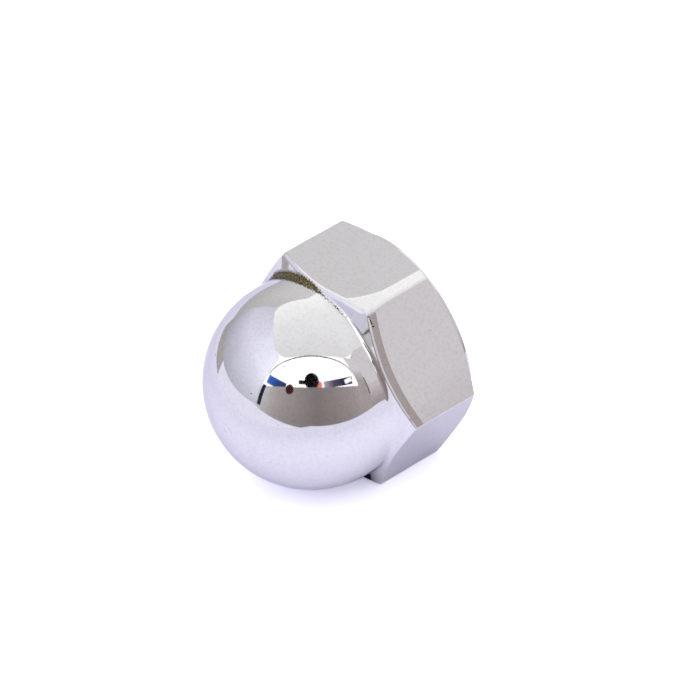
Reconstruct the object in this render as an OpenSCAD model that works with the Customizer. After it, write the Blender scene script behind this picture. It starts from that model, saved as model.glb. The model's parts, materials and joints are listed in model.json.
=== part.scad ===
// Cap nut for an M16 screw: a hexagon for the wrench, with a raised washer face at one end
// and a closed, ball-shaped dome at the other. One piece, turned and milled from bar,
// polished and chrome plated.
// +Z is up. The nut lies on one of its six flats. The thread's axis is the Y axis: its mouth
// opens towards +Y and the dome points towards -Y. The origin is on the thread's axis, at the
// face that bears on the work.

/* [Hexagon] */
// Size of the wrench that fits the nut, across two opposite flats
across_flats = 24; // [21:0.5:30]
// Distance from the bearing face to the shoulder, at the middle of a flat
hex_h = 10.5; // [8:0.25:14]
// Slope of the turned shoulder that cuts the corners off at the dome's end
shoulder_angle = 30; // [15:1:35]

/* [Washer face] */
// How far the raised bearing face stands out from the hexagon
washer_h = 0.3; // [0.2:0.1:0.8]
// How far the washer face's rim lies inside the flats
washer_step = 0.12; // [0.05:0.01:0.8]
// Slope of the chamfer that cuts the corners off at the bearing end
bearing_chamfer_angle = 28; // [15:1:35]

/* [Dome] */
// How far the dome's side lies inside the flats
dome_step = 0.4; // [0.3:0.05:1.5]
// Length of the dome's straight side, from the shoulder to where the ball shape starts
dome_side_h = 1.9; // [1.5:0.1:5]
// Radius of the hollow corner between the shoulder and the dome
neck_r = 0.7; // [0.3:0.05:0.75]

/* [Thread] */
// Nominal diameter of the screw
thread_d = 16; // [12:1:17]
// Distance from one thread to the next
thread_pitch = 2; // [1:0.25:2.5]
// Metal left between the tip of the drilled hole and the top of the dome
crown_wall = 2; // [1.2:0.1:4]
// Angle across the drill's point
drill_point_angle = 118; // [90:1:140]
// How far the rim of the lead-in cone stands outside the screw's diameter
lead_in = 0.4; // [0.1:0.1:0.8]
// Angle across the lead-in cone
lead_in_angle = 90; // [60:5:120]

/* [Hidden] */
$fn = 96;
// Smallest overlap that keeps a cut from ending on a face
eps = 0.01;

flat_r = across_flats / 2;
corner_r = flat_r / cos(30);
washer_r = flat_r - washer_step;
dome_r = flat_r - dome_step;
// The ball's centre is where the dome's straight side ends
ball_z = hex_h + dome_side_h;
total_h = ball_z + dome_r;

// An ISO thread's crests reach in to this diameter, and the tapping drill has its size
bore_d = thread_d - 5 / 4 * thread_pitch * cos(30);
bore_r = bore_d / 2;
drill_tip_h = bore_r / tan(drill_point_angle / 2);
bore_h = total_h - crown_wall - drill_tip_h;
lead_in_r = thread_d / 2 + lead_in;
lead_in_h = (lead_in_r - bore_r) / tan(lead_in_angle / 2);

// The neck's hollow touches both the sloping shoulder and the dome's side
neck_centre_r = dome_r + neck_r;
neck_centre_z = hex_h + (neck_r - (neck_centre_r - flat_r) * sin(shoulder_angle)) / cos(shoulder_angle);
neck_shoulder = [neck_centre_r - neck_r * sin(shoulder_angle), neck_centre_z - neck_r * cos(shoulder_angle)];
neck_side = [dome_r, neck_centre_z];

// Outlines are drawn with x as the distance from the thread's axis, and y as the distance
// from the bearing face towards the dome

// Height of the chamfer's slope at the bearing end, a distance r from the axis
function bearing_slope(r) = washer_h + (r - washer_r) * tan(bearing_chamfer_angle);

// Height of the shoulder's slope, a distance r from the axis
function shoulder_slope(r) = hex_h - (r - flat_r) * tan(shoulder_angle);

// One side of the turned shape up to the start of the ball
module body_outline() {
    rim_r = corner_r + 1;
    difference() {
        polygon([
            [0, 0],
            [washer_r, 0],
            [washer_r, washer_h],
            [rim_r, bearing_slope(rim_r)],
            [rim_r, shoulder_slope(rim_r)],
            neck_shoulder,
            neck_side,
            [dome_r, ball_z],
            [0, ball_z],
        ]);
        translate([neck_centre_r, neck_centre_z])
            circle(r = neck_r);
    }
}

// A quarter of the ball that closes the dome
module ball_outline() {
    intersection() {
        translate([0, ball_z])
            circle(r = dome_r);
        translate([0, ball_z])
            square(dome_r + 1);
    }
}

// The outside as the lathe leaves it, before the flats are milled
module turned_blank() {
    rotate_extrude()
        union() {
            body_outline();
            ball_outline();
        }
}

// The six flats, with two of them facing up and down once the nut lies on its side
module wrench_flats() {
    translate([0, 0, -1])
        cylinder(h = total_h + 2, r = corner_r, $fn = 6);
}

// The drilled hole with its lead-in cone at the mouth and the drill's point at the end
module tapped_hole() {
    translate([0, 0, -eps])
        cylinder(h = bore_h + eps, r = bore_r);
    translate([0, 0, bore_h])
        cylinder(h = drill_tip_h, r1 = bore_r, r2 = 0);
    translate([0, 0, -eps])
        cylinder(h = lead_in_h + eps, r1 = lead_in_r + eps * tan(lead_in_angle / 2), r2 = bore_r);
}

module cap_nut() {
    color("gainsboro")
        rotate([90, 0, 0])
            difference() {
                intersection() {
                    turned_blank();
                    wrench_flats();
                }
                tapped_hole();
            }
}

cap_nut();
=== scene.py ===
"""Chrome-plated cap nut: the turned and milled body, its tapped hole, its finishes and a small studio."""

import sys
import json
import logging
import math
from dataclasses import dataclass, field
from enum import Enum

import bpy
from mathutils import Matrix, Vector


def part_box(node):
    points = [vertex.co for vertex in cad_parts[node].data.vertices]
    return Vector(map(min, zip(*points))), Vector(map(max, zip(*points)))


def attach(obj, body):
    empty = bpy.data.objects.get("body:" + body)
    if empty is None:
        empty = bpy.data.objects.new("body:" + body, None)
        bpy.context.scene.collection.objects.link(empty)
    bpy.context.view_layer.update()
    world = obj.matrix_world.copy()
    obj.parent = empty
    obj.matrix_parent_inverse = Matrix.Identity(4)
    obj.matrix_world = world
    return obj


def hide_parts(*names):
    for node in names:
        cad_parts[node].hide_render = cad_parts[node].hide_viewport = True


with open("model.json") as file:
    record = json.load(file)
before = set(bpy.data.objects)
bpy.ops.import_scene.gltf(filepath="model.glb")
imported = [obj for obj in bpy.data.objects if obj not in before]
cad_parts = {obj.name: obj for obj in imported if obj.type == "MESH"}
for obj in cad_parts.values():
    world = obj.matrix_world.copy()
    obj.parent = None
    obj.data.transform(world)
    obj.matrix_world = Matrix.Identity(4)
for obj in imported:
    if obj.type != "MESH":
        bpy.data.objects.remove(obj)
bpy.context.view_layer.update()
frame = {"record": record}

MM = 0.001
NODE = "cap_nut"
# The plate gives back about 0.68 of the light that falls on it
MIRROR_LOSS = 1 / 0.68
LOG = logging.getLogger("cap_nut")

# A flat that faces further away than this can't bound the hexagon in a direction
NEAREST_FLAT = math.radians(62)
# Radius of a corner's rounding against the width of the blend that makes it
EDGE_PER_BLEND = 1.5
# Rows between two rounded ends, close to each, as shares of the way
LINK_ROWS = [0.03, 0.3, 0.7, 0.97]
# A row this close to a rounding keeps its shading off the flat
GUARD = 0.02 * MM

Point = tuple[float, float]


# ---------------------------------------------------------------------------------------------
# Helpers
# ---------------------------------------------------------------------------------------------


def linear(hex_colour: str) -> tuple[float, float, float, float]:
    """Turns an sRGB hex colour into linear RGBA.

    Args:
        hex_colour: six hex digits, with or without a leading "#".

    Returns:
        The linear colour with an alpha of 1.
    """
    digits = hex_colour.lstrip("#")
    channels = [int(digits[i:i + 2], 16) / 255 for i in (0, 2, 4)]
    lit = [c / 12.92 if c <= 0.04045 else ((c + 0.055) / 1.055) ** 2.4 for c in channels]
    return (*lit, 1.0)


def add_node(
    tree: bpy.types.NodeTree, kind: str, inputs: dict | None = None, **settings: object
) -> bpy.types.Node:
    """Adds one node with its settings, values and links.

    Args:
        tree: the node tree that gets the node.
        kind: the node's type, such as "ShaderNodeTexNoise".
        inputs: a value, an output socket or a node for each input, by the input's name or number. A
            node stands for the first of its outputs that is in use.
        settings: the node's own properties.

    Returns:
        The new node.
    """
    node = tree.nodes.new(kind)
    for name, value in settings.items():
        setattr(node, name, value)
    for name, value in (inputs or {}).items():
        if isinstance(value, bpy.types.Node):
            value = next(socket for socket in value.outputs if socket.enabled)
        if isinstance(value, bpy.types.NodeSocket):
            tree.links.new(value, node.inputs[name])
        else:
            node.inputs[name].default_value = value
    return node


def deselect() -> None:
    """Leaves no object selected."""
    bpy.ops.object.select_all(action="DESELECT")


def activate(obj: bpy.types.Object) -> None:
    """Makes one object the only selected one, and the active one."""
    deselect()
    obj.select_set(True)
    bpy.context.view_layer.objects.active = obj


def name_active(name: str) -> bpy.types.Object:
    """Names the active object and its mesh, and returns it."""
    obj = bpy.context.view_layer.objects.active
    obj.name = obj.data.name = name
    return obj


def draw_outline(name: str, points: list[Vector]) -> bpy.types.Object:
    """Draws a chain of edges by extruding one vertex from point to point.

    Args:
        name: the new object's name.
        points: the chain's points, in metres.

    Returns:
        The new object.
    """
    deselect()
    bpy.ops.mesh.primitive_plane_add(size=MM, location=(0, 0, 0))
    obj = name_active(name)
    bpy.ops.object.mode_set(mode="EDIT")
    bpy.ops.mesh.select_all(action="SELECT")
    bpy.ops.mesh.merge(type="CENTER")
    bpy.ops.transform.translate(value=points[0])
    for start, end in zip(points, points[1:]):
        bpy.ops.mesh.extrude_vertices_move(TRANSFORM_OT_translate={"value": end - start})
    bpy.ops.object.mode_set(mode="OBJECT")
    return obj


def close_up(obj: bpy.types.Object) -> None:
    """Merges an object's doubled vertices, then turns its faces outwards.

    Args:
        obj: the object, a closed mesh.
    """
    activate(obj)
    bpy.ops.object.mode_set(mode="EDIT")
    bpy.ops.mesh.select_all(action="SELECT")
    bpy.ops.mesh.remove_doubles(threshold=1e-7)
    bpy.ops.mesh.dissolve_degenerate(threshold=1e-8)
    bpy.ops.mesh.select_all(action="SELECT")
    bpy.ops.mesh.normals_make_consistent(inside=False)
    bpy.ops.object.mode_set(mode="OBJECT")


def turn(name: str, outline: list[Point], steps: int) -> bpy.types.Object:
    """Turns an outline round the thread's axis, as on a lathe.

    Args:
        name: the new object's name.
        outline: (radius, along) points, where along runs from the bearing face towards the dome.
        steps: how many columns the turned shape has.

    Returns:
        The turned object. Its doubles aren't merged yet.
    """
    obj = draw_outline(name, [Vector((radius, -along, 0)) for radius, along in outline])
    activate(obj)
    bpy.ops.object.mode_set(mode="EDIT")
    bpy.ops.mesh.select_all(action="SELECT")
    bpy.ops.mesh.spin(steps=steps, angle=math.tau, center=(0, 0, 0), axis=(0, 1, 0))
    bpy.ops.object.mode_set(mode="OBJECT")
    return obj


def combine(target: bpy.types.Object, tool: bpy.types.Object, operation: str) -> None:
    """Cuts or trims one solid with another, and deletes the tool.

    Args:
        target: the solid that is changed.
        tool: the solid that it is cut or trimmed with.
        operation: "DIFFERENCE" or "INTERSECT".
    """
    activate(target)
    cut = target.modifiers.new("cut", "BOOLEAN")
    cut.object = tool
    cut.operation = operation
    cut.solver = "EXACT"
    bpy.ops.object.modifier_apply(modifier=cut.name)
    bpy.data.meshes.remove(tool.data)


def arc(centre: Point, radius: float, start: float, end: float, steps: int) -> list[Point]:
    """Points along an arc, both ends included.

    Args:
        centre: the arc's centre, as (radius, along).
        radius: the arc's own radius.
        start: angle of the first point, in radians from the outward direction towards the dome.
        end: angle of the last point.
        steps: how many steps the arc has.

    Returns:
        steps + 1 points.
    """
    angles = [start + (end - start) * i / steps for i in range(steps + 1)]
    return [(centre[0] + radius * math.cos(a), centre[1] + radius * math.sin(a)) for a in angles]


def between(start: Point, end: Point, shares: list[float]) -> list[Point]:
    """Points on the straight line from start to end, at the given shares of its length."""
    return [(start[0] + (end[0] - start[0]) * s, start[1] + (end[1] - start[1]) * s) for s in shares]


def ease(value: float) -> float:
    """A smooth step from 0 to 1 as the value goes from 0 to 1."""
    held = min(max(value, 0.0), 1.0)
    return held * held * (3 - 2 * held)


def soft_ramp(value: float, softness: float) -> float:
    """A ramp that is 0 below 0 and rises evenly above it, with its start rounded.

    Args:
        value: the place on the ramp.
        softness: the length over which its start is rounded.

    Returns:
        The ramp's height there.
    """
    if value <= 0:
        return 0.0
    if value >= softness:
        return value - softness / 2
    return value * value / (2 * softness)


# ---------------------------------------------------------------------------------------------
# The nut's body
# ---------------------------------------------------------------------------------------------


class Edge(Enum):
    """How far the polishing wheel has rounded an edge: the rounding's radius in metres."""

    CRISP = 0.13 * MM
    EASED = 0.25 * MM
    BUFFED = 0.45 * MM
    SOFT = 0.75 * MM


@dataclass(frozen=True)
class Corner:
    """One long edge of the hexagon.

    Attributes:
        angle: its direction from the axis, in degrees from +X towards +Z.
        edge: how round the polishing has left it.
    """

    angle: float
    edge: Edge


@dataclass(frozen=True)
class Flat:
    """One flat of the hexagon, as polishing has left it.

    Attributes:
        angle: the direction it faces, in degrees from +X towards +Z.
        shoulder_edge: how round its edge with the shoulder is.
        strip_w: width of the strip along the shoulder that the wheel has tipped towards the dome.
        strip_slope: how far that strip is tipped, in degrees.
        side_w: width of the tipped strip along the flat's clockwise corner, at the bearing end.
        side_flare: how much wider that strip is at the dome's end.
        side_slope: how far the side strip is tipped, in degrees.
    """

    angle: float
    shoulder_edge: Edge = Edge.CRISP
    strip_w: float = 0.0
    strip_slope: float = 0.0
    side_w: float = 0.0
    side_flare: float = 0.0
    side_slope: float = 0.0


def nearest(items: tuple, angle: float) -> Flat | Corner:
    """The flat or the corner that lies closest to a direction, in radians."""
    return min(items, key=lambda item: abs(math.remainder(angle - math.radians(item.angle), math.tau)))


@dataclass
class NutBody:
    """The turned and milled outside of the nut, with its washer face, hexagon, neck and dome.

    Attributes:
        across_flats: the wrench size.
        length: from the bearing face to the top of the dome.
        hex_h: from the bearing face to the shoulder, at the middle of a flat.
        shoulder_angle: slope of the turned shoulder, in degrees.
        washer_h: how far the washer face stands out.
        washer_step: how far its rim lies inside the flats.
        bearing_angle: slope of the chamfer at the bearing end, in degrees.
        dome_step: how far the dome's side lies inside the flats.
        neck_r: radius of the hollow corner between shoulder and dome.
        rim_r: rounding of the washer face's rim.
        column_first: the first step between columns beside a corner, in degrees.
        column_growth: how fast the steps grow away from a corner.
        column_last: the widest step, in degrees.
        flare_from: where a side strip starts to flare, as a share of the hexagon's height.
        strip_blend: the width over which a strip along the shoulder blends into its flat.
        side_blend: the width over which a side strip blends into its flat.
        dome_steps: how many steps the dome's outline has.
        neck_steps: how many steps the neck's hollow has.
        edge_steps: how many steps the edge between a flat and the shoulder has.
        chamfer_steps: how many steps the edge at the bearing end has.
        rim_steps: how many steps the washer face's rim has.
        flat_rows: how many rows a flat has between its strip and the bearing end.
        flats: the six flats.
        corners: the six long edges.
    """

    across_flats: float
    length: float
    hex_h: float = 10.5 * MM
    shoulder_angle: float = 30.0
    washer_h: float = 0.3 * MM
    washer_step: float = 0.12 * MM
    bearing_angle: float = 28.0
    dome_step: float = 0.4 * MM
    neck_r: float = 0.7 * MM
    rim_r: float = 0.06 * MM
    column_first: float = 0.06
    column_growth: float = 1.25
    column_last: float = 0.8
    flare_from: float = 0.5
    strip_blend: float = 0.12 * MM
    side_blend: float = 0.25 * MM
    dome_steps: int = 64
    neck_steps: int = 14
    edge_steps: int = 8
    chamfer_steps: int = 6
    rim_steps: int = 4
    flat_rows: int = 22
    flats: tuple[Flat, ...] = (
        Flat(90, Edge.SOFT, side_w=1.45 * MM, side_flare=1.5 * MM, side_slope=6.5),
        Flat(30, Edge.CRISP, strip_w=1.08 * MM, strip_slope=5.0),
        Flat(-30, Edge.CRISP),
        Flat(-90, Edge.EASED),
        Flat(-150, Edge.EASED, strip_w=0.7 * MM, strip_slope=3.0),
        Flat(150, Edge.EASED, side_w=0.9 * MM, side_flare=0.8 * MM, side_slope=4.0),
    )
    corners: tuple[Corner, ...] = (
        Corner(60, Edge.BUFFED),
        Corner(0, Edge.CRISP),
        Corner(-60, Edge.CRISP),
        Corner(-120, Edge.EASED),
        Corner(180, Edge.CRISP),
        Corner(120, Edge.EASED),
    )

    @property
    def flat_r(self) -> float:
        """Distance from the axis to a flat."""
        return self.across_flats / 2

    @property
    def dome_r(self) -> float:
        """Radius of the dome and of its straight side."""
        return self.flat_r - self.dome_step

    @property
    def washer_r(self) -> float:
        """Radius of the washer face."""
        return self.flat_r - self.washer_step

    @property
    def neck_centre(self) -> Point:
        """Centre of the neck's hollow, which touches both the shoulder and the dome's side."""
        slope = math.radians(self.shoulder_angle)
        radius = self.dome_r + self.neck_r
        along = self.hex_h + (self.neck_r - (radius - self.flat_r) * math.sin(slope)) / math.cos(slope)
        return (radius, along)

    def columns(self) -> list[float]:
        """Spaces the mesh's columns, close together at the hexagon's corners.

        Returns:
            Their angles in radians.
        """
        offsets = [0.0]
        step = self.column_first
        while offsets[-1] < 30:
            offsets.append(offsets[-1] + step)
            step = min(step * self.column_growth, self.column_last)
        scale = 30 / offsets[-1]
        half = [offset * scale for offset in offsets]
        sector = half + [60 - offset for offset in reversed(half[1:-1])]
        return [math.radians(60 * corner + offset) for corner in range(6) for offset in sector]

    def flat_depth(self, flat: Flat, across: float, along: float, from_shoulder: float) -> float:
        """How far polishing has lowered a flat at one place.

        Args:
            flat: the flat.
            across: distance from the flat's middle, anticlockwise.
            along: distance from the bearing face.
            from_shoulder: distance from the flat's edge with the shoulder.

        Returns:
            The depth in metres.
        """
        depth = 0.0
        if flat.strip_w:
            slope = math.tan(math.radians(flat.strip_slope))
            depth += slope * soft_ramp(flat.strip_w - from_shoulder, self.strip_blend)
        if flat.side_w:
            flare_start = self.hex_h * self.flare_from
            flare = ease((along - flare_start) / (self.hex_h - flare_start)) ** 1.5
            width = flat.side_w + flat.side_flare * flare
            from_corner = across + self.flat_r * math.tan(math.radians(30))
            slope = math.tan(math.radians(flat.side_slope))
            depth += slope * soft_ramp(width - from_corner, self.side_blend)
        return depth

    def flat_radius(self, angle: float, along: float, from_shoulder: float) -> float:
        """Distance from the axis to the polished hexagon in one direction.

        Args:
            angle: the direction, in radians from +X towards +Z.
            along: distance from the bearing face.
            from_shoulder: distance from the flat's edge with the shoulder.

        Returns:
            The distance in metres, with the corner's rounding taken off.
        """
        reaches = []
        for flat in self.flats:
            turned = math.remainder(angle - math.radians(flat.angle), math.tau)
            if abs(turned) < NEAREST_FLAT:
                depth = self.flat_depth(flat, self.flat_r * math.tan(turned), along, from_shoulder)
                reaches.append((self.flat_r - depth) / math.cos(turned))
        reaches.sort()
        if len(reaches) < 2:
            return reaches[0]
        corner = nearest(self.corners, angle)
        blend = corner.edge.value / EDGE_PER_BLEND
        overlap = max(blend - (reaches[1] - reaches[0]), 0.0)
        return reaches[0] - overlap * overlap / (4 * blend)

    def shoulder_edge(self, angle: float) -> tuple[list[Point], float]:
        """The rounded edge between a flat and the shoulder, and the neck below it.

        Args:
            angle: the section's direction in radians.

        Returns:
            The section's points from the neck's top to the flat, and the distance from the bearing
            face to the flat's edge.
        """
        slope = math.radians(self.shoulder_angle)
        flat = nearest(self.flats, angle)
        along = self.hex_h
        settling_rounds = 4
        for _ in range(settling_rounds):
            reach = self.flat_radius(angle, along, 0.0)
            along = self.hex_h - (reach - self.flat_r) * math.tan(slope)
        tip = math.radians(flat.strip_slope) if flat.strip_w else 0.0
        radius = flat.shoulder_edge.value
        neck = Vector(self.neck_centre)
        root = neck - self.neck_r * Vector((math.sin(slope), math.cos(slope)))
        corner = Vector((reach, along))
        down_flat = Vector((math.sin(tip), -math.cos(tip)))
        inward = Vector((-math.cos(tip), -math.sin(tip)))
        turned = math.pi / 2 - slope - tip
        run = radius * math.tan(turned / 2)
        room = (corner - root).length if corner.x > root.x else 0.0
        if run < room:
            centre = corner + down_flat * run + inward * radius
            first_angle = math.pi / 2 - slope
            neck_end = math.pi * 1.5 - slope
            start = centre + radius * Vector((math.cos(first_angle), math.sin(first_angle)))
            link = between(tuple(root), tuple(start), LINK_ROWS)
        else:
            base = corner + inward * radius - neck
            along_flat = base.dot(down_flat)
            reach_sum = radius + self.neck_r
            shift = -along_flat + math.sqrt(max(along_flat ** 2 - base.length_squared + reach_sum ** 2, 0.0))
            centre = corner + inward * radius + down_flat * shift
            to_neck = (neck - centre).normalized()
            first_angle = math.atan2(to_neck.y, to_neck.x)
            neck_end = first_angle + math.pi
            start = centre + radius * to_neck
            link = [tuple(start)] * len(LINK_ROWS)
        hollow = arc(self.neck_centre, self.neck_r, math.pi, neck_end, self.neck_steps)
        rounding = arc(tuple(centre), radius, first_angle, tip, self.edge_steps)
        return hollow + link + rounding, rounding[-1][1]

    def section(self, angle: float) -> list[Point]:
        """The nut's outline in one direction from the axis.

        Args:
            angle: the direction in radians, from +X towards +Z.

        Returns:
            (radius, along) points from the top of the dome to the middle of the bearing face. Every
            section has the same number of points, so that sections can be joined.
        """
        ball = (0.0, self.length - self.dome_r)
        dome = arc(ball, self.dome_r, math.pi / 2, 0.0, self.dome_steps)
        dome[0] = (0.0, self.length)
        side = between(ball, (ball[0], self.neck_centre[1]), [0.1, 0.5, 0.9])
        side = [(self.dome_r, point[1]) for point in side]
        shoulder, edge_along = self.shoulder_edge(angle)

        slope = math.radians(self.bearing_angle)
        reach = self.flat_radius(angle, self.washer_h, edge_along - self.washer_h)
        foot = self.washer_h + (reach - self.washer_r) * math.tan(slope)
        radius = Edge.CRISP.value
        run = radius * math.tan((math.pi / 2 - slope) / 2)
        room = (reach - self.washer_r) / math.cos(slope)
        most = room * 0.8
        if run > most:
            run = most
            radius = run / math.tan((math.pi / 2 - slope) / 2)
        chamfer = arc((reach - radius, foot + run), radius, 0.0, slope - math.pi / 2, self.chamfer_steps)

        strip = max(flat.strip_w for flat in self.flats)
        down = [GUARD, strip * 0.4, strip * 0.75]
        down += [strip - self.strip_blend + self.strip_blend / 3 * step for step in range(5)]
        last = chamfer[0][1]
        alongs = [edge_along - step for step in down]
        rows = self.flat_rows
        shares = [row / rows for row in range(1, rows)] + [1 - 0.02 / rows]
        alongs += [alongs[-1] + (last - alongs[-1]) * share for share in shares]
        flat = [(self.flat_radius(angle, along, edge_along - along), along) for along in alongs]

        root = (self.washer_r, self.washer_h)
        rim = arc((self.washer_r - self.rim_r, self.rim_r), self.rim_r, 0.0, -math.pi / 2, self.rim_steps)
        face = [(self.washer_r - self.rim_r * 1.5, 0.0), (self.washer_r * 0.9, 0.0), (0.0, 0.0)]
        return [
            *dome, *side, *shoulder, *flat, *chamfer,
            *between(chamfer[-1], root, [0.1, 0.5, 1.0]),
            *rim, *face,
        ]

    def build(self) -> bpy.types.Object:
        """Turns the blank and mills the flats.

        The flats are milled by moving each column of the turned blank to the nut's section at its
        own angle. Cutting with a hexagonal bar can't give edges whose rounding changes from flat to
        flat and along their length, and the mirror finish would show every facet that it leaves.

        Returns:
            The closed body, with no hole yet.
        """
        columns = self.columns()
        blank = self.section(math.radians(30))
        body = turn(NODE + "_body", blank, len(columns))
        count = len(blank)
        for number, angle in enumerate(columns):
            for place, (radius, along) in enumerate(self.section(angle)):
                vertex = body.data.vertices[number * count + place]
                vertex.co = (radius * math.cos(angle), -along, radius * math.sin(angle))
        close_up(body)
        return body


# ---------------------------------------------------------------------------------------------
# The tapped hole
# ---------------------------------------------------------------------------------------------


@dataclass
class TappedHole:
    """The blind hole: drilled, countersunk and tapped with a right-hand thread.

    Attributes:
        bore_r: radius of the drilled hole, where the thread's crests lie.
        depth: from the bearing face to the end of the drilled hole's straight side.
        major_r: radius of the thread's roots.
        pitch: distance from one thread to the next.
        lead_in_r: radius of the lead-in cone at the bearing face.
        point_angle: angle across the drill's point, in degrees.
        full_thread: from the bearing face to the last thread of full depth.
        runout: length over which the thread then fades.
        steps: how many steps each turn has.
        margin: how far the drill's and the tap's solids stand out past what they cut.
        sunk: how far the thread's cutter starts inside the drilled hole.
    """

    bore_r: float
    depth: float = 17.84 * MM
    major_r: float = 8.03 * MM
    pitch: float = 2.0 * MM
    lead_in_r: float = 8.4 * MM
    point_angle: float = 118.0
    full_thread: float = 13.2 * MM
    runout: float = 3.0 * MM
    steps: int = 96
    margin: float = 1.0 * MM
    sunk: float = 0.25 * MM

    def drill(self) -> bpy.types.Object:
        """Turns the solid that the drill and the countersink take out.

        Returns:
            The solid.
        """
        tip = self.bore_r / math.tan(math.radians(self.point_angle / 2))
        out = self.margin
        lead_in_h = self.lead_in_r - self.bore_r
        outline = [
            (0.0, -out),
            (self.lead_in_r + out, -out),
            (self.bore_r, lead_in_h),
            (self.bore_r, self.depth),
            (0.0, self.depth + tip),
        ]
        cutter = turn("drill", outline, self.steps * 2)
        close_up(cutter)
        return cutter

    def tap(self) -> bpy.types.Object:
        """Winds the solid that the tap takes out, with a 60 degree thread that fades at its end.

        Returns:
            The solid.
        """
        inner = self.bore_r - self.sunk
        flank = (self.major_r - inner) * math.tan(math.radians(30))
        crest = self.pitch / 8
        gap = (self.pitch - crest) / 2 - flank
        places = [
            (inner, 0.0),
            (inner, gap),
            (self.major_r, gap + flank),
            (self.major_r, gap + flank + crest),
            (inner, self.pitch - gap),
            (inner, self.pitch),
        ]
        start = 2 * self.pitch
        turns = math.ceil((self.full_thread + self.runout + 2 * start) / self.pitch)
        worm = draw_outline("tap", [Vector((radius, start - along, 0)) for radius, along in places])
        screw = worm.modifiers.new("wind", "SCREW")
        screw.axis = "Y"
        screw.angle = -math.tau
        screw.screw_offset = -self.pitch
        screw.iterations = turns
        screw.steps = screw.render_steps = self.steps
        screw.use_merge_vertices = True
        screw.merge_threshold = 1e-7
        activate(worm)
        bpy.ops.object.modifier_apply(modifier=screw.name)
        faded = self.full_thread + self.runout
        for place, outward in ((1.2 * self.margin, 1), (-faded - 0.5 * self.margin, -1)):
            bpy.ops.object.mode_set(mode="EDIT")
            bpy.ops.mesh.select_all(action="SELECT")
            bpy.ops.mesh.bisect(
                plane_co=(0, place, 0), plane_no=(0, outward, 0), use_fill=True, clear_outer=True
            )
            bpy.ops.object.mode_set(mode="OBJECT")
        close_up(worm)
        fade = [
            (0.0, -2 * self.margin),
            (self.major_r + self.margin, -2 * self.margin),
            (self.major_r + self.margin, self.full_thread - self.margin),
            (self.major_r, self.full_thread),
            (inner, faded),
            (0.0, faded),
        ]
        envelope = turn("tap_fade", fade, self.steps)
        close_up(envelope)
        combine(worm, envelope, "INTERSECT")
        return worm

    def cut(self, body: bpy.types.Object) -> None:
        """Drills, countersinks and taps the body, which it changes."""
        combine(body, self.drill(), "DIFFERENCE")
        combine(body, self.tap(), "DIFFERENCE")


# ---------------------------------------------------------------------------------------------
# Finishes
# ---------------------------------------------------------------------------------------------


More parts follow.
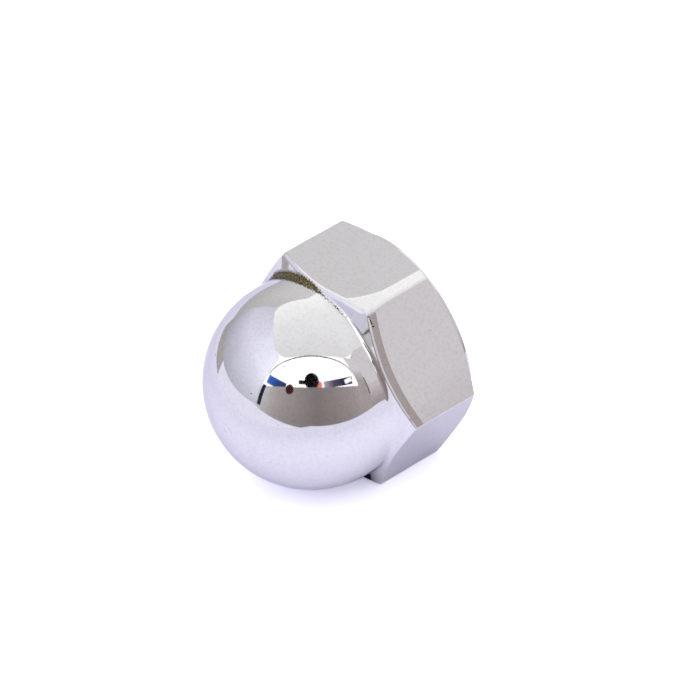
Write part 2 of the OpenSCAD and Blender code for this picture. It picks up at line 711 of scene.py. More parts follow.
@dataclass(frozen=True)
class ChromePlate:
    """Bright chromium plate over polished nickel on steel, electroplated.

    It gives the eye a cool mirror whose reflected edges waver a little, with fine pits, and a dull
    brownish grain in the neck, where the polishing wheel doesn't reach.

    Attributes:
        colour: the plate's own colour.
        edge_colour: its tint where it is seen at a glancing angle.
        cloudy_colour: the plate where fine polishing marks cloud it.
        dull_colour: the grain in the neck.
        dark_colour: the dirt in that grain and in the pits.
        roughness: how rough the polished plate is.
        dull_roughness: how rough the neck is.
        ripple_mm: size of the polishing's long ripples.
        ripple_height: their height in metres.
        peel_mm: size of the plate's fine waviness.
        peel_height: its height in metres.
        smear_mm: size of the patches that are polished more or less.
        grain_mm: size of the grain in the neck.
        grain_height: its height in metres.
        pit_mm: distance between pits.
        pit_r: radius of the largest pit, as a share of that distance.
        pit_rarity: the share of places with no pit.
        speck_mm: distance between the finer specks beside the neck.
        speck_r: radius of the largest speck, as a share of that distance.
        speck_reach: how far up the dome the specks lie, in mm.
        scuff_from: where the nick beside the corner starts, in mm.
        scuff_to: where it ends, in mm.
        dull_heading: middle of the stretch of neck that stays dull, in degrees from +X towards +Z.
        dull_reach: how far its thick part reaches from there, in degrees.
        dull_tail: how much further its thin tail reaches, in degrees.
        dull_offset: how far the dull band lies from the neck's own middle, in mm.
        dull_half: half the width of its thick part, in mm.
        dull_thin: half the width of its thin part, in mm.
    """

    colour: str = "D8D8DA"
    edge_colour: str = "E0E0E4"
    cloudy_colour: str = "D1D0D1"
    dull_colour: str = "857B58"
    dark_colour: str = "2C281C"
    roughness: float = 0.035
    dull_roughness: float = 0.42
    ripple_mm: float = 3.5
    ripple_height: float = 2.5e-6
    peel_mm: float = 0.35
    peel_height: float = 0.6e-6
    smear_mm: float = 1.8
    grain_mm: float = 0.16
    grain_height: float = 20e-6
    pit_mm: float = 0.9
    pit_r: float = 0.09
    pit_rarity: float = 0.9
    speck_mm: float = 0.4
    speck_r: float = 0.3
    speck_reach: float = 4.0
    scuff_from: tuple[float, float, float] = (7.26, -9.54, 11.42)
    scuff_to: tuple[float, float, float] = (7.91, -9.49, 10.3)
    dull_heading: float = 112.0
    dull_reach: float = 29.0
    dull_tail: float = 22.0
    dull_offset: float = 0.30
    dull_half: float = 0.55
    dull_thin: float = 0.07

    def dull_neck(
        self, tree: bpy.types.NodeTree, in_mm: bpy.types.Node, grain: bpy.types.Node, body: NutBody
    ) -> bpy.types.Node:
        """Masks the hollow between the shoulder and the dome's side, where the plate stays dull.

        Args:
            tree: the material's nodes.
            in_mm: the place in millimetres.
            grain: the pattern that makes the band's edge ragged.
            body: the nut's body, whose sizes place the band.

        Returns:
            The node that gives 1 in the band and 0 elsewhere.
        """
        split = add_node(tree, "ShaderNodeSeparateXYZ", {"Vector": in_mm})
        section = add_node(tree, "ShaderNodeCombineXYZ", {"X": split.outputs["X"], "Y": split.outputs["Z"]})
        radius = add_node(tree, "ShaderNodeVectorMath", {0: section}, operation="LENGTH")
        outward = add_node(tree, "ShaderNodeVectorMath", {0: section}, operation="NORMALIZE")
        middle = body.neck_centre[1] / MM - self.dull_offset
        from_neck = add_node(tree, "ShaderNodeMath", {0: split.outputs["Y"], 1: middle}, operation="ADD")
        apart = add_node(tree, "ShaderNodeMath", {0: from_neck}, operation="ABSOLUTE")

        heading = math.radians(self.dull_heading)
        toward = (math.cos(heading), math.sin(heading), 0.0)
        facing = add_node(tree, "ShaderNodeVectorMath", {0: outward, 1: toward}, operation="DOT_PRODUCT")
        # The band's half width in mm follows how far each place faces the stretch's middle: it is
        # full at the middle, thin past its reach, and gone past its tail
        full = 0.985
        thick = math.cos(math.radians(self.dull_reach))
        thin = math.cos(math.radians(self.dull_reach + self.dull_tail))
        spread = add_node(
            tree, "ShaderNodeMapRange",
            {"Value": facing, 1: thick, 2: full, 3: self.dull_thin, 4: self.dull_half},
        )
        fading = add_node(
            tree, "ShaderNodeMapRange", {"Value": facing, 1: thin - 0.05, 2: thin + 0.1, 3: -0.3, 4: 0.0}
        )
        # The band ends sooner on its side towards -X
        beside_end = (math.sin(heading), -math.cos(heading), 0.0)
        past_end = add_node(
            tree, "ShaderNodeVectorMath", {0: outward, 1: beside_end}, operation="DOT_PRODUCT"
        )
        end = add_node(tree, "ShaderNodeMapRange", {"Value": past_end, 1: -0.5, 2: -0.27, 3: -0.6, 4: 0.0})
        ragged = add_node(tree, "ShaderNodeMapRange", {"Value": grain, 1: 0.3, 2: 0.7, 3: -0.12, 4: 0.12})
        limit = spread
        for part in (end, fading, ragged):
            limit = add_node(tree, "ShaderNodeMath", {0: limit, 1: part}, operation="ADD")
        inside = add_node(tree, "ShaderNodeMath", {0: limit, 1: apart}, operation="SUBTRACT")
        neck = add_node(tree, "ShaderNodeMapRange", {"Value": inside, 1: -0.05, 2: 0.12})
        shoulder = body.flat_r / MM
        # The shoulder's slope was in the wheel's reach again this far out, in mm
        cleaned = shoulder + 0.4
        low = add_node(
            tree, "ShaderNodeMapRange", {"Value": radius, 1: shoulder, 2: cleaned, 3: 1.0, 4: 0.0}
        )
        return add_node(tree, "ShaderNodeMath", {0: neck, 1: low}, operation="MULTIPLY")

    def pits(self, tree: bpy.types.NodeTree, in_mm: bpy.types.Node) -> bpy.types.Node:
        """Masks the pits: a few cells of a cell pattern, each with a small hole at its middle.

        Args:
            tree: the material's nodes.
            in_mm: the place in millimetres.

        Returns:
            The node that gives 1 in a pit and 0 elsewhere.
        """
        cells = add_node(tree, "ShaderNodeTexVoronoi", {"Vector": in_mm, "Scale": 1 / self.pit_mm})
        chance = add_node(tree, "ShaderNodeSeparateColor", {"Color": cells.outputs["Color"]})
        size = add_node(tree, "ShaderNodeMapRange", {"Value": chance, 1: self.pit_rarity, 4: self.pit_r})
        hole = add_node(tree, "ShaderNodeMath", {0: size, 1: cells}, operation="SUBTRACT")
        return add_node(tree, "ShaderNodeMapRange", {"Value": hole, 1: 0.0, 2: 0.02})

    def specks(self, tree: bpy.types.NodeTree, in_mm: bpy.types.Node, body: NutBody) -> bpy.types.Node:
        """Masks the specks: finer and closer pits on the dome's side beside the neck.

        Args:
            tree: the material's nodes.
            in_mm: the place in millimetres.
            body: the nut's body, whose neck the specks lie beside.

        Returns:
            The node that gives most in a speck and 0 elsewhere.
        """
        split = add_node(tree, "ShaderNodeSeparateXYZ", {"Vector": in_mm})
        neck = -body.neck_centre[1] / MM
        beside = add_node(
            tree, "ShaderNodeMapRange", {"Value": split.outputs["Y"], 1: neck - self.speck_reach, 2: neck}
        )
        # They crowd on the side towards +X, between these distances from the axis, in mm
        toward_x = add_node(tree, "ShaderNodeMapRange", {"Value": split.outputs["X"], 1: 5.0, 2: 10.0})
        crowd = add_node(tree, "ShaderNodeMath", {0: beside, 1: toward_x}, operation="MULTIPLY")
        # The share of places with no speck, away from the crowd and in it
        least = add_node(tree, "ShaderNodeMapRange", {"Value": crowd, 3: 0.99, 4: 0.78})
        cells = add_node(tree, "ShaderNodeTexVoronoi", {"Vector": in_mm, "Scale": 1 / self.speck_mm})
        chance = add_node(tree, "ShaderNodeSeparateColor", {"Color": cells.outputs["Color"]})
        picked = add_node(tree, "ShaderNodeMath", {0: chance, 1: least}, operation="SUBTRACT")
        size = add_node(tree, "ShaderNodeMapRange", {"Value": picked, 2: 0.28, 4: self.speck_r})
        dot = add_node(tree, "ShaderNodeMath", {0: size, 1: cells}, operation="SUBTRACT")
        return add_node(tree, "ShaderNodeMapRange", {"Value": dot, 2: 0.08, 4: 0.7})

    def scuff(self, tree: bpy.types.NodeTree, in_mm: bpy.types.Node, grain: bpy.types.Node) -> bpy.types.Node:
        """Masks the scuff: a short nick beside the corner, on the tipped strip.

        Args:
            tree: the material's nodes.
            in_mm: the place in millimetres.
            grain: the pattern that makes the nick's edge ragged.

        Returns:
            The node that gives 1 in the nick and 0 elsewhere.
        """
        start = add_node(tree, "ShaderNodeVectorMath", {0: in_mm, 1: self.scuff_from}, operation="SUBTRACT")
        run = Vector(self.scuff_to) - Vector(self.scuff_from)
        share = run / run.length_squared
        reached = add_node(tree, "ShaderNodeVectorMath", {0: start, 1: share}, operation="DOT_PRODUCT")
        held = add_node(tree, "ShaderNodeClamp", {"Value": reached})
        nearest = add_node(tree, "ShaderNodeVectorMath", {0: run, "Scale": held}, operation="SCALE")
        off_line = add_node(tree, "ShaderNodeVectorMath", {0: start, 1: nearest}, operation="DISTANCE")
        chipped = add_node(tree, "ShaderNodeMapRange", {"Value": grain, 1: 0.35, 2: 0.65, 3: 0.04, 4: 0.16})
        inside = add_node(tree, "ShaderNodeMath", {0: chipped, 1: off_line}, operation="SUBTRACT")
        return add_node(tree, "ShaderNodeMapRange", {"Value": inside, 2: 0.03})

    def material(self, body: NutBody) -> bpy.types.Material:
        """Makes the material.

        Args:
            body: the nut's body, whose sizes place the dull neck and the specks.

        Returns:
            The new material.
        """
        made = bpy.data.materials.new("chromium_plate_on_polished_steel")
        made.use_nodes = True
        tree = made.node_tree
        tree.nodes.clear()
        place = add_node(tree, "ShaderNodeTexCoord").outputs["Object"]
        in_mm = add_node(tree, "ShaderNodeMapping", {"Vector": place, "Scale": (1 / MM,) * 3})
        ripple, peel, grain, smear = (
            add_node(tree, "ShaderNodeTexNoise", {"Vector": in_mm, "Scale": 1 / size, "Detail": detail})
            for size, detail in (
                (self.ripple_mm, 1.0), (self.peel_mm, 3.0), (self.grain_mm, 2.0), (self.smear_mm, 4.0)
            )
        )

        dull = self.dull_neck(tree, in_mm, grain, body)
        marked = self.pits(tree, in_mm)
        for mark in (self.specks(tree, in_mm, body), self.scuff(tree, in_mm, grain)):
            marked = add_node(tree, "ShaderNodeMath", {0: marked, 1: mark}, operation="MAXIMUM")
        worn = add_node(tree, "ShaderNodeMath", {0: dull, 1: marked}, operation="MAXIMUM")

        clouding = add_node(tree, "ShaderNodeMapRange", {"Value": peel, 1: 0.45, 2: 0.7})
        dirt = add_node(tree, "ShaderNodeMapRange", {"Value": grain, 1: 0.4, 2: 0.62})
        dirty = add_node(tree, "ShaderNodeMath", {0: dirt, 1: marked}, operation="MAXIMUM")
        clean, grimy = (
            add_node(
                tree, "ShaderNodeMix",
                {"Factor": share, 6: linear(first), 7: linear(second)}, data_type="RGBA",
            )
            for share, first, second in (
                (clouding, self.colour, self.cloudy_colour), (dirty, self.dull_colour, self.dark_colour)
            )
        )
        tint = add_node(tree, "ShaderNodeMix", {"Factor": worn, 6: clean, 7: grimy}, data_type="RGBA")
        polish = add_node(
            tree, "ShaderNodeMapRange",
            {"Value": smear, 1: 0.35, 2: 0.75, 3: self.roughness, 4: self.roughness * 2},
        )
        rough = add_node(tree, "ShaderNodeMix", {"Factor": worn, 2: polish, 3: self.dull_roughness})

        waves = add_node(
            tree, "ShaderNodeBump", {"Height": ripple, "Distance": self.ripple_height, "Strength": 1.0}
        )
        skin = add_node(
            tree, "ShaderNodeBump",
            {"Height": peel, "Distance": self.peel_height, "Strength": 1.0, "Normal": waves},
        )
        gritty = add_node(tree, "ShaderNodeMath", {0: grain, 1: dull}, operation="MULTIPLY")
        relief = add_node(
            tree, "ShaderNodeBump",
            {"Height": gritty, "Distance": self.grain_height, "Strength": 1.0, "Normal": skin},
        )
        edge_tint = linear(self.edge_colour)
        shader = add_node(tree, "ShaderNodeBsdfPrincipled", {
            "Base Color": tint, "Metallic": 1.0, "Roughness": rough,
            "Specular Tint": edge_tint, "Normal": relief,
        })
        add_node(tree, "ShaderNodeOutputMaterial", {"Surface": shader})
        return made


# ---------------------------------------------------------------------------------------------
# Studio
# ---------------------------------------------------------------------------------------------


@dataclass(frozen=True)
class Glow:
    """A lit cloth or card that the nut mirrors.

    Attributes:
        name: the material's name.
        colours: its colours from one end to the other, as the nut's mirror shows them.
        axis: 0 if the colour changes across the card, 1 if it changes up the card.
        level: how many times brighter than its mirror image it is.
        foot: how bright its lower edge is, as a share of the rest.
        foot_h: the height over which it fades to that, in metres.
    """

    name: str
    colours: tuple[str, ...]
    axis: int = 0
    level: float = MIRROR_LOSS
    foot: float = 1.0
    foot_h: float = 0.1

    def material(self, half_size: tuple[float, float]) -> bpy.types.Material:
        """Makes the glowing material.

        Args:
            half_size: half the card's width and half its height, in metres.

        Returns:
            The new material.
        """
        made = bpy.data.materials.new(self.name)
        made.use_nodes = True
        tree = made.node_tree
        tree.nodes.clear()
        place = add_node(tree, "ShaderNodeTexCoord").outputs["Object"]
        split = add_node(tree, "ShaderNodeSeparateXYZ", {"Vector": place})
        reach = half_size[self.axis]
        share = add_node(
            tree, "ShaderNodeMapRange", {"Value": split.outputs[self.axis], 1: -reach, 2: reach}
        )
        blend = add_node(tree, "ShaderNodeValToRGB", {"Fac": share})
        stops = blend.color_ramp.elements
        while len(stops) < len(self.colours):
            stops.new(0.5)
        for number, stop in enumerate(stops):
            stop.position = number / (len(stops) - 1)
            stop.color = linear(self.colours[min(number, len(self.colours) - 1)])
        folds = add_node(tree, "ShaderNodeTexNoise", {"Vector": place, "Scale": 7.0, "Detail": 1.0})
        uneven = add_node(
            tree, "ShaderNodeMapRange",
            {"Value": folds, 1: 0.3, 2: 0.7, 3: self.level * 0.98, 4: self.level * 1.02},
        )
        low = -half_size[1]
        fade = add_node(
            tree, "ShaderNodeMapRange",
            {"Value": split.outputs["Y"], 1: low, 2: low + self.foot_h, 3: self.foot, 4: 1.0},
        )
        level = add_node(tree, "ShaderNodeMath", {0: uneven, 1: fade}, operation="MULTIPLY")
        shader = add_node(tree, "ShaderNodeEmission", {"Color": blend, "Strength": level})
        add_node(tree, "ShaderNodeOutputMaterial", {"Surface": shader})
        return made


@dataclass
class LightTent:
    """A box of lit cloth with an open front, seen only in the nut's mirror.

    Its own axes are X to the camera's right, Y away from the camera and Z up.

    Attributes:
        heading: direction from the nut to the camera, in degrees from -Y towards +X.
        lean: how far the tent leans against the nut, in degrees.
        lean_heading: the direction in which the tent is raised, in degrees.
        front: from the nut to the open front.
        half_width: from the nut to a side wall.
        back: from the nut to the back wall.
        top_front: from the nut up to the ceiling's front edge.
        top_back: from the nut up to the ceiling's back edge.
        bottom: from the nut down to the walls' lower edge.
        post_x: from the nut to the front post that narrows the opening on the right.
        sill_left: height of the dark cloth under the opening, at its left end.
        sill_right: its height at its right end.
        sill_half: half the width of that cloth.
        sill_lift: how far its lower left corner is lifted.
        foot_half: half the height of the dark foot of the right wall.
        post_half_h: half the height of the front post.
        post_z: height of the post's middle.
        skirt_half: half the height of the skirting at the left wall's foot.
        skirt_half_depth: half its length.
        roof_gap: from the ceiling up to the roof that shows past the ceiling's round corners.
        rounding: how round the ceiling's corners are.
        arch_z: height at which the opening's arch starts to bend.
        arch_reach: the arch's left end, as a share of half_width.
        arch_gap: from the ceiling's front edge down to the top of the arch.
        rod_r: radius of the arch's rod.
        seam_inset: how far inside the cloth the seams lie, as a share of its distance.
        seam_w: width of a seam.
    """

    heading: float
    lean: float = 6.5
    lean_heading: float = -20.0
    front: float = 0.18
    half_width: float = 0.30
    back: float = 0.43
    top_front: float = 0.35
    top_back: float = 0.445
    bottom: float = 0.018
    post_x: float = 0.205
    sill_left: float = 0.086
    sill_right: float = 0.118
    sill_half: float = 0.084
    sill_lift: float = 0.05
    foot_half: float = 0.10
    post_half_h: float = 0.205
    post_z: float = 0.155
    skirt_half: float = 0.03
    skirt_half_depth: float = 0.15
    roof_gap: float = 0.02
    rounding: float = 0.12
    arch_z: float = 0.19
    arch_reach: float = 0.93
    arch_gap: float = 0.008
    rod_r: float = 0.0048
    seam_inset: float = 0.97
    seam_w: float = 0.003

    def place(self) -> Matrix:
        """Turns the tent's own axes into the world's.

        Returns:
            The matrix that does so.
        """
        raised = math.radians(self.lean_heading)
        axis = Vector((-math.cos(raised), -math.sin(raised), 0))
        leaned = Matrix.Rotation(math.radians(self.lean), 4, axis)
        return leaned @ Matrix.Rotation(math.radians(self.heading), 4, "Z")

    def card(
        self, name: str, centre: Vector, across: Vector, up: Vector, glow: Glow,
        rounding: float = 0.0, lift: float = 0.0,
    ) -> bpy.types.Object:
        """Hangs one card.

        Args:
            name: the card's name.
            centre: its middle, in the tent's own axes.
            across: from its middle to its side edge.
            up: from its middle to its upper edge.
            glow: how it shines.
            rounding: how round its corners are, in metres.
            lift: how far its lower left corner is lifted, in metres.

        Returns:
            The new card, hidden from the camera.
        """
        deselect()
        bpy.ops.mesh.primitive_plane_add(size=2.0, location=(0, 0, 0))
        card = name_active(name)
        bpy.ops.object.mode_set(mode="EDIT")
        bpy.ops.mesh.select_all(action="SELECT")
        bpy.ops.transform.resize(value=(across.length, up.length, 1))
        if rounding:
            bpy.ops.mesh.bevel(offset=rounding, segments=12, affect="VERTICES")
        bpy.ops.object.mode_set(mode="OBJECT")
        lowest = min(card.data.vertices, key=lambda vertex: vertex.co.x + vertex.co.y)
        lowest.co.y += lift
        facing = Matrix((across.normalized(), up.normalized(), across.cross(up).normalized())).transposed()
        card.matrix_world = self.place() @ Matrix.Translation(centre) @ facing.to_4x4()
        card.data.materials.append(glow.material((across.length, up.length)))
        hide_from_camera(card)
        return card

    def seam(self, name: str, start: Vector, end: Vector, width: float, colour: str) -> bpy.types.Object:
        """Sews one seam of the tent.

        Args:
            name: the seam's name.
            start: where it starts, in the tent's own axes.
            end: where it ends.
            width: how wide it is.
            colour: its colour, as the nut's mirror shows it.

        Returns:
            The new seam.
        """
        middle = (start + end) / 2 * self.seam_inset
        across = (end - start) / 2
        up = across.cross(middle).normalized() * width / 2
        return self.card(name, middle, across, up, Glow(name, (colour,)))

    def arch(self) -> bpy.types.Object:
        """Bends the dark rod that holds the opening's upper edge.

        Returns:
            The new rod, hidden from the camera.
        """
        left = self.half_width * self.arch_reach
        half = (left + self.post_x) / 2
        middle = (self.post_x - left) / 2
        deselect()
        bpy.ops.mesh.primitive_torus_add(
            major_radius=half, minor_radius=self.rod_r, major_segments=96, minor_segments=8
        )
        arch = name_active("opening_arch")
        bpy.ops.object.mode_set(mode="EDIT")
        bpy.ops.mesh.select_all(action="SELECT")
        bpy.ops.mesh.bisect(plane_co=(0, 0, 0), plane_no=(0, 1, 0), clear_inner=True)
        bpy.ops.mesh.select_all(action="SELECT")
        height = (self.top_front - self.arch_gap - self.arch_z) / half
        bpy.ops.transform.resize(value=(1, height, 1), center_override=(0, 0, 0))
        bpy.ops.object.mode_set(mode="OBJECT")
        upright = Matrix.Rotation(math.pi / 2, 4, "X")
        arch.matrix_world = self.place() @ Matrix.Translation((middle, -self.front, self.arch_z)) @ upright
        rod = Glow("opening_arch", ("DCDCDC", "D0CECC", "C0BEBC", "8C8A88", "55504E"), axis=1)
        arch.data.materials.append(rod.material((half, self.top_front - self.arch_z)))
        hide_from_camera(arch)
        return arch

    def walls(self) -> list[bpy.types.Object]:
        """Hangs the ceiling, the roof over it, the walls with their feet and the front post.

        Returns:
            The new cards.
        """
        x, y, z = Matrix.Identity(3)
        middle = (self.back - self.front) / 2
        side = x * self.half_width
        depth = y * (self.back + self.front) / 2
        wall_z = (self.top_back - self.bottom) / 2
        height = z * (self.top_back + self.bottom) / 2
        slope = depth + z * (self.top_back - self.top_front) / 2
        roof_z = (self.top_back + self.top_front) / 2
        post_half = (self.half_width - self.post_x) / 2
        skirt_y = self.back - self.skirt_half_depth
        # Each inner card hangs this far in front of the one that it would touch
        apart = 0.001
        ceiling = Glow("tent_ceiling", ("D8D6D6", "E6E6E6", "F8F6F3"), axis=1)
        roof = Glow("tent_roof", ("FFFFFF", "D4D2D8", "C8C6C8"), axis=1)
        left = Glow("tent_left_wall", ("F0F0FF", "D7D5E3", "C8C6D2"), foot=0.6, foot_h=0.2)
        right = Glow("tent_right_wall", ("C8C4C6", "D0CED2"))
        foot = Glow("tent_right_foot", ("7A7070", "A09696", "C4BEC0"), axis=1)
        post = Glow("tent_front_post", ("A09694",) * 5 + ("B8B2B2",) + ("CCC8CA",) * 4, axis=1)
        skirt = Glow("tent_skirting", ("A8A2A0",))
        back = Glow("tent_back_wall", ("B9B8B6", "CFCCCD", "DAD6D7"), foot=0.85, foot_h=0.2)
        hung = (
            ("tent_ceiling", (0, middle, roof_z), side, slope, ceiling, self.rounding),
            ("tent_roof", (0, middle, roof_z + self.roof_gap), side * 1.1, slope * 1.05, roof, 0.0),
            ("tent_left", (-self.half_width, middle, wall_z), depth, height, left, 0.0),
            ("tent_right", (self.half_width, middle, wall_z), depth, height, right, 0.0),
            (
                "tent_right_foot", (self.half_width - 3 * apart, middle, 0),
                depth, z * self.foot_half, foot, 0.0,
            ),
            (
                "tent_front_post", (self.half_width - post_half, -self.front + 2 * apart, self.post_z),
                x * post_half, z * self.post_half_h, post, 0.0,
            ),
            (
                "tent_skirting", (-self.half_width, skirt_y, -self.bottom - self.skirt_half),
                y * self.skirt_half_depth, z * self.skirt_half, skirt, 0.0,
            ),
            ("tent_back", (0, self.back, wall_z), side, height, back, 0.0),
        )
        return [
            self.card(name, Vector(centre), across, up, glow, rounding)
            for name, centre, across, up, glow, rounding in hung
        ]

    def opening(self) -> list[bpy.types.Object]:
        """Hangs the sill under the opening, the bright room in front of it and the arch over it.

        Returns:
            The new cards and the arch's rod.
        """
        x, _, z = Matrix.Identity(3)
        sill_z = (self.sill_left + self.sill_right) / 2 - self.sill_half
        across = x * self.half_width + z * (self.sill_right - self.sill_left) / 2
        sill = Glow("tent_sill", ("CCCCCE", "A09997", "7B7371", "988E8D", "B6AAA9"), foot=0.85, foot_h=0.1)
        window = Glow("bright_room", ("FFFFFF",), level=1.75)
        window_centre = Vector((0, -0.9, 1.2))
        window_half_w = 2.0
        window_half_h = 1.1
        return [
            self.card(
                "tent_sill", Vector((0, -self.front, sill_z)), across, z * self.sill_half, sill,
                lift=self.sill_lift,
            ),
            self.card("bright_room", window_centre, x * window_half_w, z * window_half_h, window),
            self.arch(),
        ]

    def seams(self) -> list[bpy.types.Object]:
        """Sews the seams along the tent's edges.

        Returns:
            The new seams.
        """
        front_left = Vector((-self.half_width, -self.front, self.top_front))
        back_left = Vector((-self.half_width, self.back, self.top_back))
        back_right = Vector((self.half_width, self.back, self.top_back))
        front_right = Vector((self.half_width, -self.front, self.top_front))
        floor_left = Vector((-self.half_width, self.back, -self.bottom))
        left_end = front_left - Vector((0, 0, 0.25))
        hem_top = front_right - Vector((0, 0, 0.19))
        hem_end = front_right - Vector((0, 0, 0.30))
        sewn = (
            ("seam_left_top", front_left, back_left, self.seam_w, "C6C6C8"),
            ("seam_back_top", back_left, back_right, self.seam_w, "C4C2C2"),
            ("seam_right_top", front_right, back_right, self.seam_w, "C0BEC0"),
            ("seam_left_back", back_left, floor_left, self.seam_w, "B4B2B2"),
            ("seam_left_front", front_left, left_end, self.seam_w + 0.0005, "BCBCC6"),
            ("seam_right_front", hem_top, hem_end, self.seam_w * 2, "54494A"),
        )
        return [self.seam(*seam) for seam in sewn]

    def build(self) -> list[bpy.types.Object]:
        """Hangs the whole tent and returns its cards, its rod and its seams."""
        return self.walls() + self.opening() + self.seams()


def direction(heading: float, elevation: float) -> Vector:
    """The direction with a heading, in degrees from -Y towards +X, and an elevation in degrees."""
    turned, raised = math.radians(heading), math.radians(elevation)
    level = Vector((math.sin(turned), -math.cos(turned), 0)) * math.cos(raised)
    return level + Vector((0, 0, math.sin(raised)))


@dataclass(frozen=True)
class RoomShape:
    """Something in the room in front of the tent, seen only in the nut's mirror.

    Attributes:
        name: what it is.
        heading: its direction from the nut, in degrees from -Y towards +X.
        elevation: its direction above the horizon, in degrees.
        half_width: half the angle it takes up from side to side, in degrees.
        half_height: half the angle it takes up from bottom to top, in degrees.
        colours: its colours from its right end to its left end, as the nut's mirror shows them.
        tilt: how far it is turned anticlockwise, in degrees.
        distance: how far away it is, in metres.
        round: whether it is round and not square.
    """

    name: str
    heading: float
    elevation: float
    half_width: float
    half_height: float
    colours: tuple[str, ...]
    tilt: float = 0.0
    distance: float = 0.42
    round: bool = False

    def build(self, centre: Vector) -> bpy.types.Object:
        """Makes the shape.

        Args:
            centre: the place on the nut that it faces.

        Returns:
            The new shape, hidden from the camera.
        """
        toward = direction(self.heading, self.elevation)
        sides = 24 if self.round else 4
        deselect()
        bpy.ops.mesh.primitive_circle_add(vertices=sides, radius=1.0, fill_type="NGON", location=(0, 0, 0))
        shape = name_active(self.name)
        corner = 1.0 if self.round else math.sqrt(2)
        half = tuple(self.distance * math.tan(math.radians(a)) for a in (self.half_width, self.half_height))
        bpy.ops.object.mode_set(mode="EDIT")
        bpy.ops.mesh.select_all(action="SELECT")
        if not self.round:
            bpy.ops.transform.rotate(value=math.pi / 4, orient_axis="Z", center_override=(0, 0, 0))
        bpy.ops.transform.resize(value=(half[0] * corner, half[1] * corner, 1))
        bpy.ops.object.mode_set(mode="OBJECT")
        facing = (-toward).to_track_quat("Z", "Y").to_matrix().to_4x4()
        spun = facing @ Matrix.Rotation(math.radians(-self.tilt), 4, "Z")
        shape.matrix_world = Matrix.Translation(centre + toward * self.distance) @ spun
        shape.data.materials.append(Glow(self.name, self.colours).material(half))
        hide_from_camera(shape)
        return shape


ROOM_SHAPES = (
    RoomShape("camera_lens", 55.0, 39.2, 7.6, 8.8, ("060606",), round=True),
    RoomShape("camera_grip", 42.3, 38.3, 3.8, 2.1, ("060606",)),
    RoomShape("red_strap", 64.0, 34.2, 3.2, 3.8, ("F07464",), distance=0.44, round=True),
    RoomShape("dark_red_knob", 26.1, 29.0, 4.4, 5.4, ("3C1A1C",), distance=0.15, round=True),
    RoomShape("blue_screen", 9.0, 31.5, 10.5, 4.4, ("2C3448", "2A4684", "2C64C8"), tilt=-4.0, distance=0.5),
    RoomShape("blue_stand", -4.5, 13.8, 2.0, 10.8, ("10183A",), tilt=-2.0, distance=0.24),
    RoomShape(
        "grey_shelf", 87.8, 30.0, 15.5, 3.8, ("2A2438", "342C44", "504A5C", "A8A2AC"),
        tilt=-15.0, distance=0.5,
    ),
    RoomShape("bright_box", 99.8, 26.9, 4.0, 2.2, ("FFFFFF",), tilt=-8.0, distance=0.45),
)


def hide_from_camera(obj: bpy.types.Object) -> None:
    """Leaves an object in reflections and light only."""
    obj.visible_camera = False
    obj.visible_shadow = False


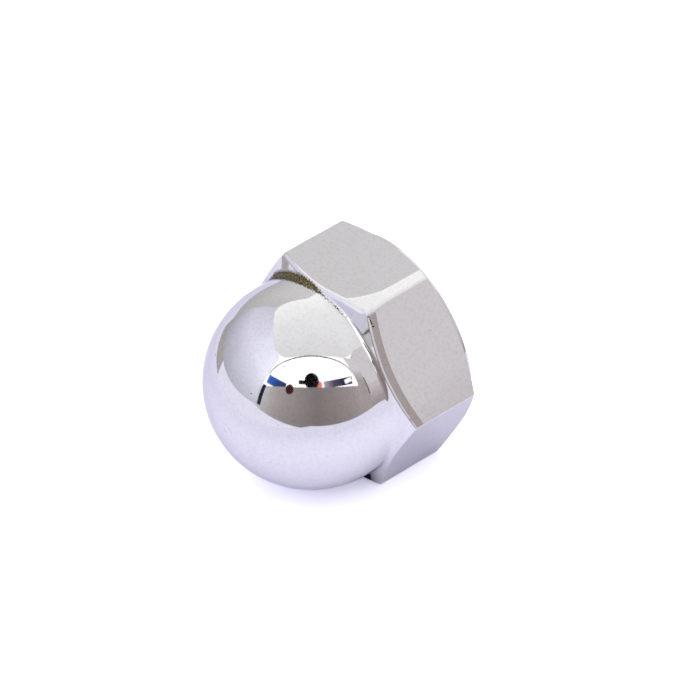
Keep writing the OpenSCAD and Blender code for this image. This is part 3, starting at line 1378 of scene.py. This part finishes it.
@dataclass
class Studio:
    """The floor, the pale surroundings and the camera.

    Attributes:
        floor_z: height of the floor.
        hex_h: length of the flat that the nut lies on.
        contact_half: half that flat's width, which sets the footprint of the floor's painted shadow.
        floor_half: half the floor's width.
        heading: direction from the nut to the camera, in degrees from -Y towards +X.
        elevation: the camera's height above the nut, in degrees.
        roll: the camera's roll, in degrees.
        distance: from the nut's middle to the camera.
        aim_right: how far right of the nut's middle the camera aims.
        aim_up: how far above the nut's middle the camera aims.
        lens: focal length on a 36 mm sensor, in mm.
        contact_blend: the gap from the nut's flat at which half of the floor's light is back, as the painted
            shadow under the nut fades.
        near: the gap up to which the mirrored floor has its painted brighter light beside the nut.
        far: the gap at which it has its colour away from the nut, where that painted light has faded.
    """

    floor_z: float
    hex_h: float = 10.5 * MM
    contact_half: float = 5.6 * MM
    floor_half: float = 0.085
    heading: float = 53.11
    elevation: float = 38.63
    roll: float = -4.70
    distance: float = 0.42676
    aim_right: float = 3.86 * MM
    aim_up: float = 3.18 * MM
    lens: float = 205.7
    contact_blend: float = 0.35 * MM
    near: float = 8 * MM
    far: float = 45 * MM

    def paper(self) -> bpy.types.Material:
        """Makes a matt white paper, pressed and uncoated, which the nut mirrors as a pale lavender.

        It gives the eye an even white with a soft shadow, which a faint painted blue glow, seen only by the
        camera, tints. In the mirror it darkens towards the flat that the nut lies on, where little light gets
        in under the nut: this is a painted shadow, with painted brighter light beside the nut. Its values are
        linear shares of light, because some of them pass white.

        Returns:
            The new material.
        """
        # Mirror-only colours: a painted shadow where the nut touches the floor, painted brighter light beside
        # the nut, and the floor away from it
        painted_contact_shadow = (0.03, 0.03, 0.05, 1.0)
        beside = (1.07, 1.05, 1.23, 1.0)
        away = (0.87, 0.86, 1.01, 1.0)
        white = (1.25, 1.25, 1.26, 1.0)
        # A faint painted blue glow, seen only by the camera, that tints the floor's soft shadow blue
        cool = (0.25, 0.35, 1.0, 1.0)
        painted_shade_glow_level = 0.11
        made = bpy.data.materials.new("white_paper_sweep")
        made.use_nodes = True
        tree = made.node_tree
        tree.nodes.clear()
        place = add_node(tree, "ShaderNodeTexCoord").outputs["Object"]
        from_nut = add_node(
            tree, "ShaderNodeVectorMath", {0: place, 1: (0, self.hex_h / 2, 0)}, operation="ADD"
        )
        apart = add_node(tree, "ShaderNodeVectorMath", {0: from_nut}, operation="ABSOLUTE")
        footprint = (self.contact_half, self.hex_h / 2, 1.0)
        past = add_node(tree, "ShaderNodeVectorMath", {0: apart, 1: footprint}, operation="SUBTRACT")
        outside = add_node(tree, "ShaderNodeVectorMath", {0: past, 1: (0, 0, 0)}, operation="MAXIMUM")
        gap = add_node(tree, "ShaderNodeVectorMath", {0: outside}, operation="LENGTH")
        # The share of the floor's light past the painted shadow, growing with the gap from the nut's
        # footprint
        more = add_node(tree, "ShaderNodeMath", {0: gap, 1: self.contact_blend}, operation="ADD")
        share = add_node(tree, "ShaderNodeMath", {0: gap, 1: more}, operation="DIVIDE")
        # Painted brighter light beside the nut, fading to the floor's colour further away
        reach = add_node(tree, "ShaderNodeMapRange", {"Value": gap, 1: self.near, 2: self.far})
        floor_with_painted_light = add_node(
            tree, "ShaderNodeMix", {"Factor": reach, 6: beside, 7: away}, data_type="RGBA"
        )
        mirrored = add_node(
            tree, "ShaderNodeMix", {"Factor": share, 6: painted_contact_shadow, 7: floor_with_painted_light}, data_type="RGBA"
        )
        seen = add_node(tree, "ShaderNodeLightPath").outputs["Is Camera Ray"]
        colour = add_node(tree, "ShaderNodeMix", {"Factor": seen, 6: mirrored, 7: white}, data_type="RGBA")
        matt = add_node(tree, "ShaderNodeBsdfDiffuse", {"Color": colour})
        # The painted blue glow that tints the shadow, added for the camera only
        glow = add_node(tree, "ShaderNodeEmission", {"Color": cool, "Strength": painted_shade_glow_level})
        lit = add_node(tree, "ShaderNodeAddShader", {0: matt, 1: glow})
        both = add_node(tree, "ShaderNodeMixShader", {0: seen, 1: matt, 2: lit})
        add_node(tree, "ShaderNodeOutputMaterial", {"Surface": both})
        return made

    def floor(self) -> bpy.types.Object:
        """Lays the pale floor.

        Returns:
            The new floor.
        """
        deselect()
        bpy.ops.mesh.primitive_plane_add(size=2 * self.floor_half, location=(0, 0, self.floor_z))
        floor = name_active("floor")
        floor.data.materials.append(self.paper())
        return floor

    def surroundings(self) -> None:
        """Makes everything past the floor white to the camera, and floor-coloured in the mirror."""
        white_level = 1.3
        floor_colour = (1.1, 1.07, 1.24, 1.0)
        world = bpy.data.worlds.new("pale_room")
        bpy.context.scene.world = world
        world.use_nodes = True
        tree = world.node_tree
        tree.nodes.clear()
        seen = add_node(tree, "ShaderNodeLightPath").outputs["Is Camera Ray"]
        white = add_node(tree, "ShaderNodeBackground", {"Color": (1, 1, 1, 1), "Strength": white_level})
        mirrored = add_node(tree, "ShaderNodeBackground", {"Color": floor_colour, "Strength": 1.0})
        mixed = add_node(tree, "ShaderNodeMixShader", {0: seen, 1: mirrored, 2: white})
        add_node(tree, "ShaderNodeOutputWorld", {"Surface": mixed})
        bpy.context.scene.view_settings.view_transform = "Standard"

    def axes(self) -> tuple[Vector, Vector, Vector]:
        """Works out how the camera is turned.

        Returns:
            Its right, up and backward directions.
        """
        heading, roll = math.radians(self.heading), math.radians(self.roll)
        back = direction(self.heading, self.elevation)
        level = Vector((math.cos(heading), math.sin(heading), 0))
        over = back.cross(level)
        right = level * math.cos(roll) + over * math.sin(roll)
        return right, back.cross(right), back

    def camera(self, centre: Vector) -> bpy.types.Object:
        """Places the camera.

        Args:
            centre: the nut's middle.

        Returns:
            The camera.
        """
        right, up, back = self.axes()
        deselect()
        bpy.ops.object.camera_add()
        camera = bpy.context.view_layer.objects.active
        camera.name = "camera"
        camera.data.lens = self.lens
        camera.data.clip_start = 0.01
        camera.data.clip_end = 10.0
        turned = Matrix((right, up, back)).transposed().to_4x4()
        aim = centre + right * self.aim_right + up * self.aim_up
        camera.matrix_world = Matrix.Translation(aim + back * self.distance) @ turned
        bpy.context.scene.camera = camera
        return camera


# ---------------------------------------------------------------------------------------------
# Making
# ---------------------------------------------------------------------------------------------


@dataclass
class CapNut:
    """The whole nut: its body with the tapped hole, dressed in its finish.

    Attributes:
        body: the outside.
        hole: the tapped hole.
        chrome: the plate on all of it.
        smooth_below: the widest angle between two faces that is shaded smooth, in degrees.
    """

    body: NutBody
    hole: TappedHole
    chrome: ChromePlate = field(default_factory=ChromePlate)
    smooth_below: float = 28.0

    def build(self) -> bpy.types.Object:
        """Makes the nut, dresses it and hands it to the frame.

        Returns:
            The finished piece.
        """
        nut = self.body.build()
        self.hole.cut(nut)
        nut.name = nut.data.name = NODE + "_chromed"
        activate(nut)
        bpy.ops.object.shade_smooth_by_angle(angle=math.radians(self.smooth_below))
        nut.data.materials.clear()
        nut.data.materials.append(self.chrome.material(self.body))
        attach(nut, "root")
        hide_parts(NODE)
        return nut


def report(obj: bpy.types.Object) -> None:
    """Logs a piece's faces and its size in millimetres.

    Args:
        obj: the piece.
    """
    obj.data.calc_loop_triangles()
    size = " x ".join(f"{side / MM:.3f}" for side in obj.dimensions)
    LOG.info("%s: %d triangles, %s mm", obj.name, len(obj.data.loop_triangles), size)


def main() -> None:
    """Builds the nut and its studio."""
    logging.basicConfig(level=logging.INFO, format="%(name)s: %(message)s", stream=sys.stdout)
    low, high = (Vector(corner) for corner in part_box(NODE))
    thread = next(mount for mount in frame["record"]["mounts"] if mount["name"] == "thread")

    studio = Studio(floor_z=low.z)
    studio.camera((low + high) / 2)
    studio.surroundings()
    body = NutBody(across_flats=high.z - low.z, length=high.y - low.y)
    nut = CapNut(body, TappedHole(bore_r=thread["dims"]["r_mm"] * MM)).build()
    report(nut)
    studio.floor()
    for card in LightTent(heading=studio.heading).build():
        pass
    # The place on the dome that mirrors the tent's opening
    mirror_at = Vector((8 * MM, low.y + 6 * MM, 8 * MM))
    for shape in ROOM_SHAPES:
        shape.build(mirror_at)


if __name__ == "__main__":
    main()
